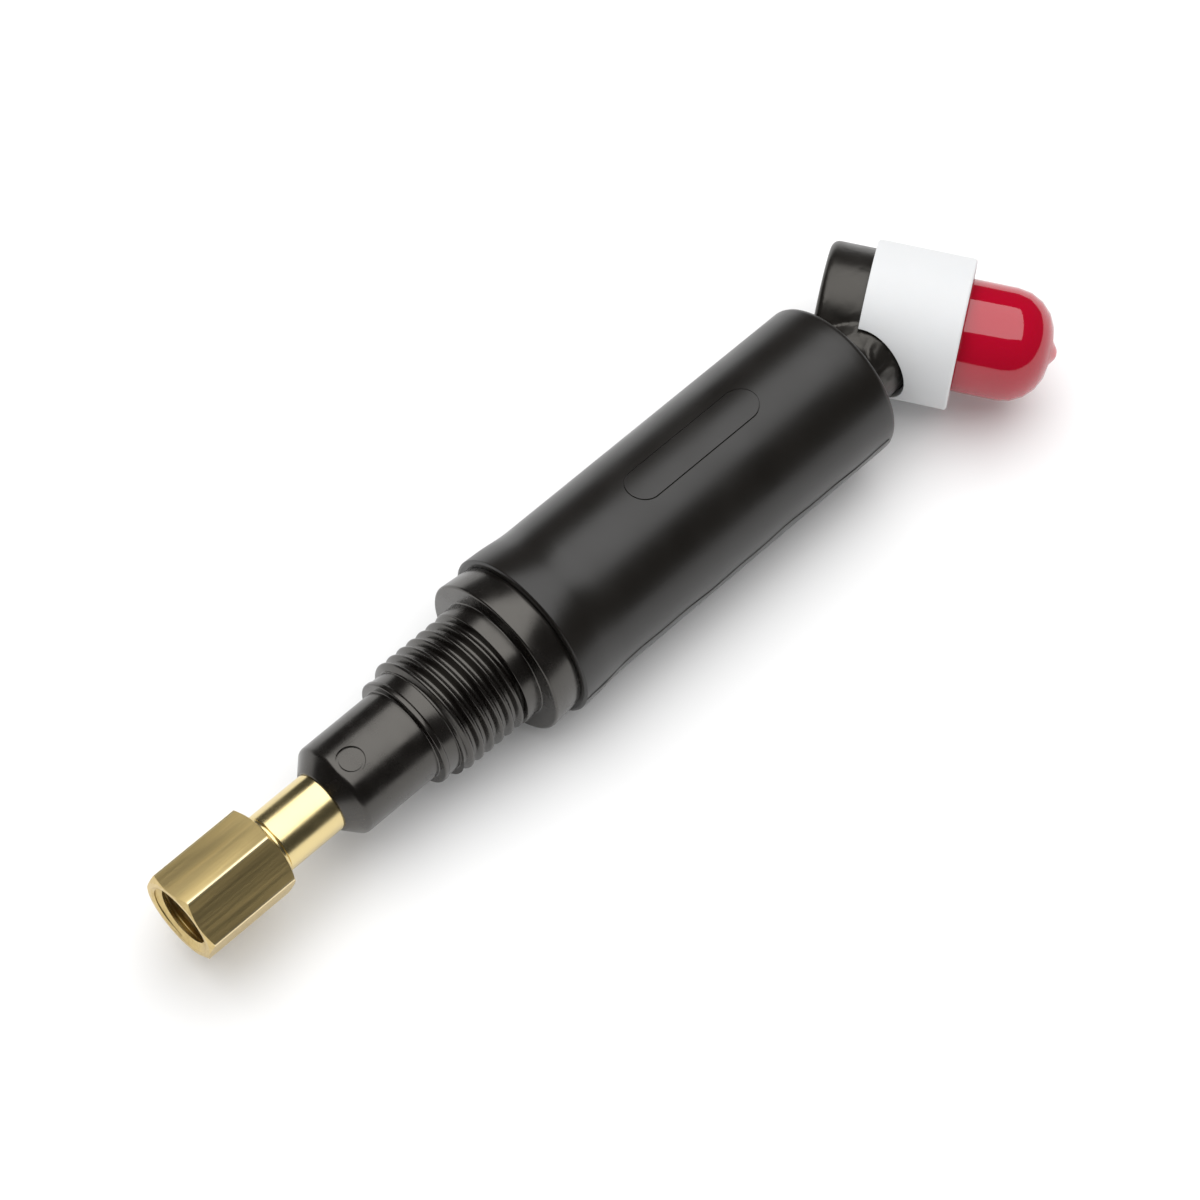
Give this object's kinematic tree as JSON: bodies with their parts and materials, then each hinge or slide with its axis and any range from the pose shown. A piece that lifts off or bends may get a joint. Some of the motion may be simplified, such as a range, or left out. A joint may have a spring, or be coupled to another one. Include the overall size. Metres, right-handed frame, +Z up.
{
  "type": "welding torch body",
  "caption": "Flexible-neck welding torch body with a threaded handle adapter, brass power connector, angled head, white heat shield and red slip-on cap.",
  "frame": {"origin": "centre of the handle seat, the face of the adapter's flange that a handle screws up to", "axes": "+X along the neck from the handle seat to the head, +Z up with the part lying on its side, head bent toward -Y"},
  "size_m": [0.1195, 0.0275, 0.0198],
  "materials": {
    "brass": "machined brass",
    "adapter_plastic": "glossy black moulding",
    "sleeve_rubber": "satin black silicone",
    "tube_metal": "annealed copper",
    "head_rubber": "semi-gloss black moulding",
    "shield_plastic": "matt white",
    "cap_vinyl": "glossy red dipped vinyl"
  },
  "bodies": {
    "handle_side": {"power_connector": "brass", "handle_adapter": "adapter_plastic", "neck_sleeve": "sleeve_rubber", "neck_tube": "tube_metal"},
    "head": {"head_block": "brass", "head_cover": "head_rubber"},
    "shield": {"heat_shield": "shield_plastic"},
    "cap": {"protective_cap": "cap_vinyl"}
  },
  "joints": [
    {"name": "neck_bend", "type": "hinge", "parent": "handle_side", "child": "head", "pos_m": [0.03, 0, 0], "axis": [0, 0, 1], "range_deg": [-35, 35], "deforming": ["neck_sleeve", "neck_tube"]},
    {"name": "shield_slide", "type": "slide", "parent": "head", "child": "shield", "axis": [0.5358, -0.8443, 0], "range_m": [0, 0.02]},
    {"name": "cap_pull", "type": "slide", "parent": "head", "child": "cap", "axis": [0.5358, -0.8443, 0], "range_m": [0, 0.035]}
  ]
}
